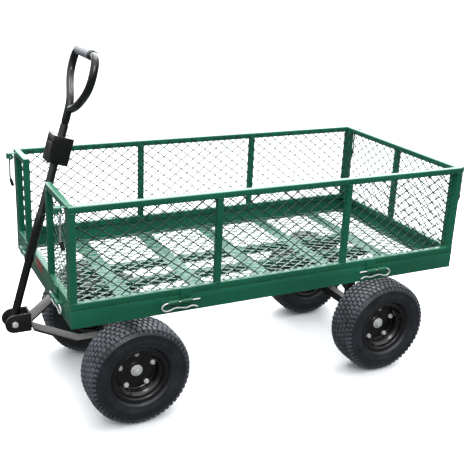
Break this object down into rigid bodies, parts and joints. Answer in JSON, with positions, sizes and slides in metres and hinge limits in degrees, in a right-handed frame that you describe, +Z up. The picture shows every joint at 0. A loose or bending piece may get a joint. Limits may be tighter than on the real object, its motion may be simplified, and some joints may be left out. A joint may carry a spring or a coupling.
{
  "type": "garden cart",
  "caption": "Steel mesh garden cart: shallow tray with fold-down mesh side and end panels, steered front axle, leaning pull handle with hitch box, and pneumatic wheels.",
  "frame": {"origin": "centre of the overall footprint, on the ground under the tyres", "axes": "+X forward, towards the pull handle; +Y to the cart's left; +Z up"},
  "size_m": [1.498, 0.7124, 1.1135],
  "materials": {
    "green_paint": "semi-gloss powder coat",
    "mesh_paint": "semi-gloss powder coat",
    "underframe_paint": "semi-gloss powder coat",
    "handle_paint": "gloss enamel",
    "rim_paint": "semi-gloss enamel",
    "zinc_steel": "bright zinc plate",
    "tyre_rubber": "matt turf tread",
    "grip": "soft vinyl sleeve"
  },
  "bodies": {
    "bed": {"tray": "green_paint", "cross_bar_1": "green_paint", "cross_bar_2": "green_paint", "cross_bar_3": "green_paint", "cross_bar_4": "green_paint", "cross_bar_5": "green_paint", "deck_mesh": "mesh_paint", "chassis_rail_left": "green_paint", "chassis_rail_right": "green_paint", "rear_axle_beam": "underframe_paint", "rear_axle_rod": "zinc_steel", "turntable_upper": "underframe_paint", "king_pin": "zinc_steel", "axle_nut_rear_left": "zinc_steel", "axle_nut_rear_right": "zinc_steel", "hinge_pin_left_front": "zinc_steel", "hinge_pin_left_rear": "zinc_steel", "hinge_pin_right_front": "zinc_steel", "hinge_pin_right_rear": "zinc_steel", "hinge_pin_front_left": "zinc_steel", "hinge_pin_front_right": "zinc_steel", "hinge_pin_rear_left": "zinc_steel", "hinge_pin_rear_right": "zinc_steel"},
    "front_axle": {"turntable_lower": "underframe_paint", "front_axle_beam": "underframe_paint", "front_axle_rod": "zinc_steel", "tongue": "underframe_paint", "clevis": "underframe_paint", "clevis_bolt": "zinc_steel", "axle_nut_front_left": "zinc_steel", "axle_nut_front_right": "zinc_steel"},
    "handle": {"handle_shaft": "handle_paint", "hitch_box": "underframe_paint", "handle_loop": "handle_paint", "hand_grip": "grip"},
    "wheel_front_left": {"tyre_front_left": "tyre_rubber", "rim_front_left": "rim_paint", "wheel_bearing_front_left": "zinc_steel"},
    "wheel_front_right": {"tyre_front_right": "tyre_rubber", "rim_front_right": "rim_paint", "wheel_bearing_front_right": "zinc_steel"},
    "wheel_rear_left": {"tyre_rear_left": "tyre_rubber", "rim_rear_left": "rim_paint", "wheel_bearing_rear_left": "zinc_steel"},
    "wheel_rear_right": {"tyre_rear_right": "tyre_rubber", "rim_rear_right": "rim_paint", "wheel_bearing_rear_right": "zinc_steel"},
    "left_panel": {"left_panel_frame": "green_paint", "left_panel_mesh": "mesh_paint"},
    "right_panel": {"right_panel_frame": "green_paint", "right_panel_mesh": "mesh_paint"},
    "front_panel": {"front_panel_frame": "green_paint", "front_panel_mesh_left": "mesh_paint", "front_panel_mesh_right": "mesh_paint"},
    "rear_panel": {"rear_panel_frame": "green_paint", "rear_panel_mesh": "mesh_paint"},
    "latch_front_left": {"latch_rod_front_left": "zinc_steel"},
    "latch_front_right": {"latch_rod_front_right": "zinc_steel"},
    "latch_rear_left": {"latch_rod_rear_left": "zinc_steel"},
    "latch_rear_right": {"latch_rod_rear_right": "zinc_steel"}
  },
  "joints": [
    {"name": "steering", "type": "hinge", "parent": "bed", "child": "front_axle", "pos_m": [0.403, 0, 0.351], "axis": [0, 0, 1], "range_deg": [-22, 16]},
    {"name": "handle_pivot", "type": "hinge", "parent": "front_axle", "child": "handle", "pos_m": [0.719, 0, 0.273], "axis": [0, 1, 0], "range_deg": [0, 110]},
    {"name": "wheel_front_left_spin", "type": "hinge", "parent": "front_axle", "child": "wheel_front_left", "pos_m": [0.403, 0.25, 0.165], "axis": [0, 1, 0], "continuous": true},
    {"name": "wheel_front_right_spin", "type": "hinge", "parent": "front_axle", "child": "wheel_front_right", "pos_m": [0.403, -0.25, 0.165], "axis": [0, 1, 0], "continuous": true},
    {"name": "wheel_rear_left_spin", "type": "hinge", "parent": "bed", "child": "wheel_rear_left", "pos_m": [-0.502, 0.25, 0.165], "axis": [0, 1, 0], "continuous": true},
    {"name": "wheel_rear_right_spin", "type": "hinge", "parent": "bed", "child": "wheel_rear_right", "pos_m": [-0.502, -0.25, 0.165], "axis": [0, 1, 0], "continuous": true},
    {"name": "left_panel_fold", "type": "hinge", "parent": "bed", "child": "left_panel", "pos_m": [-0.047, 0.3495, 0.42], "axis": [-1, 0, 0], "range_deg": [0, 180]},
    {"name": "right_panel_fold", "type": "hinge", "parent": "bed", "child": "right_panel", "pos_m": [-0.047, -0.3495, 0.42], "axis": [1, 0, 0], "range_deg": [0, 180]},
    {"name": "rear_panel_fold", "type": "hinge", "parent": "bed", "child": "rear_panel", "pos_m": [-0.7285, 0, 0.42], "axis": [0, -1, 0], "range_deg": [0, 180]},
    {"name": "front_panel_fold", "type": "hinge", "parent": "bed", "child": "front_panel", "pos_m": [0.6345, 0, 0.42], "axis": [0, 1, 0], "range_deg": [0, 28]},
    {"name": "latch_front_left_swing", "type": "hinge", "parent": "front_panel", "child": "latch_front_left", "pos_m": [0.643, 0.305, 0.7205], "axis": [0, -1, 0], "range_deg": [0, 90]},
    {"name": "latch_front_right_swing", "type": "hinge", "parent": "front_panel", "child": "latch_front_right", "pos_m": [0.643, -0.305, 0.7205], "axis": [0, -1, 0], "range_deg": [0, 90]},
    {"name": "latch_rear_left_swing", "type": "hinge", "parent": "rear_panel", "child": "latch_rear_left", "pos_m": [-0.737, 0.305, 0.7205], "axis": [0, 1, 0], "range_deg": [0, 90]},
    {"name": "latch_rear_right_swing", "type": "hinge", "parent": "rear_panel", "child": "latch_rear_right", "pos_m": [-0.737, -0.305, 0.7205], "axis": [0, 1, 0], "range_deg": [0, 90]}
  ]
}
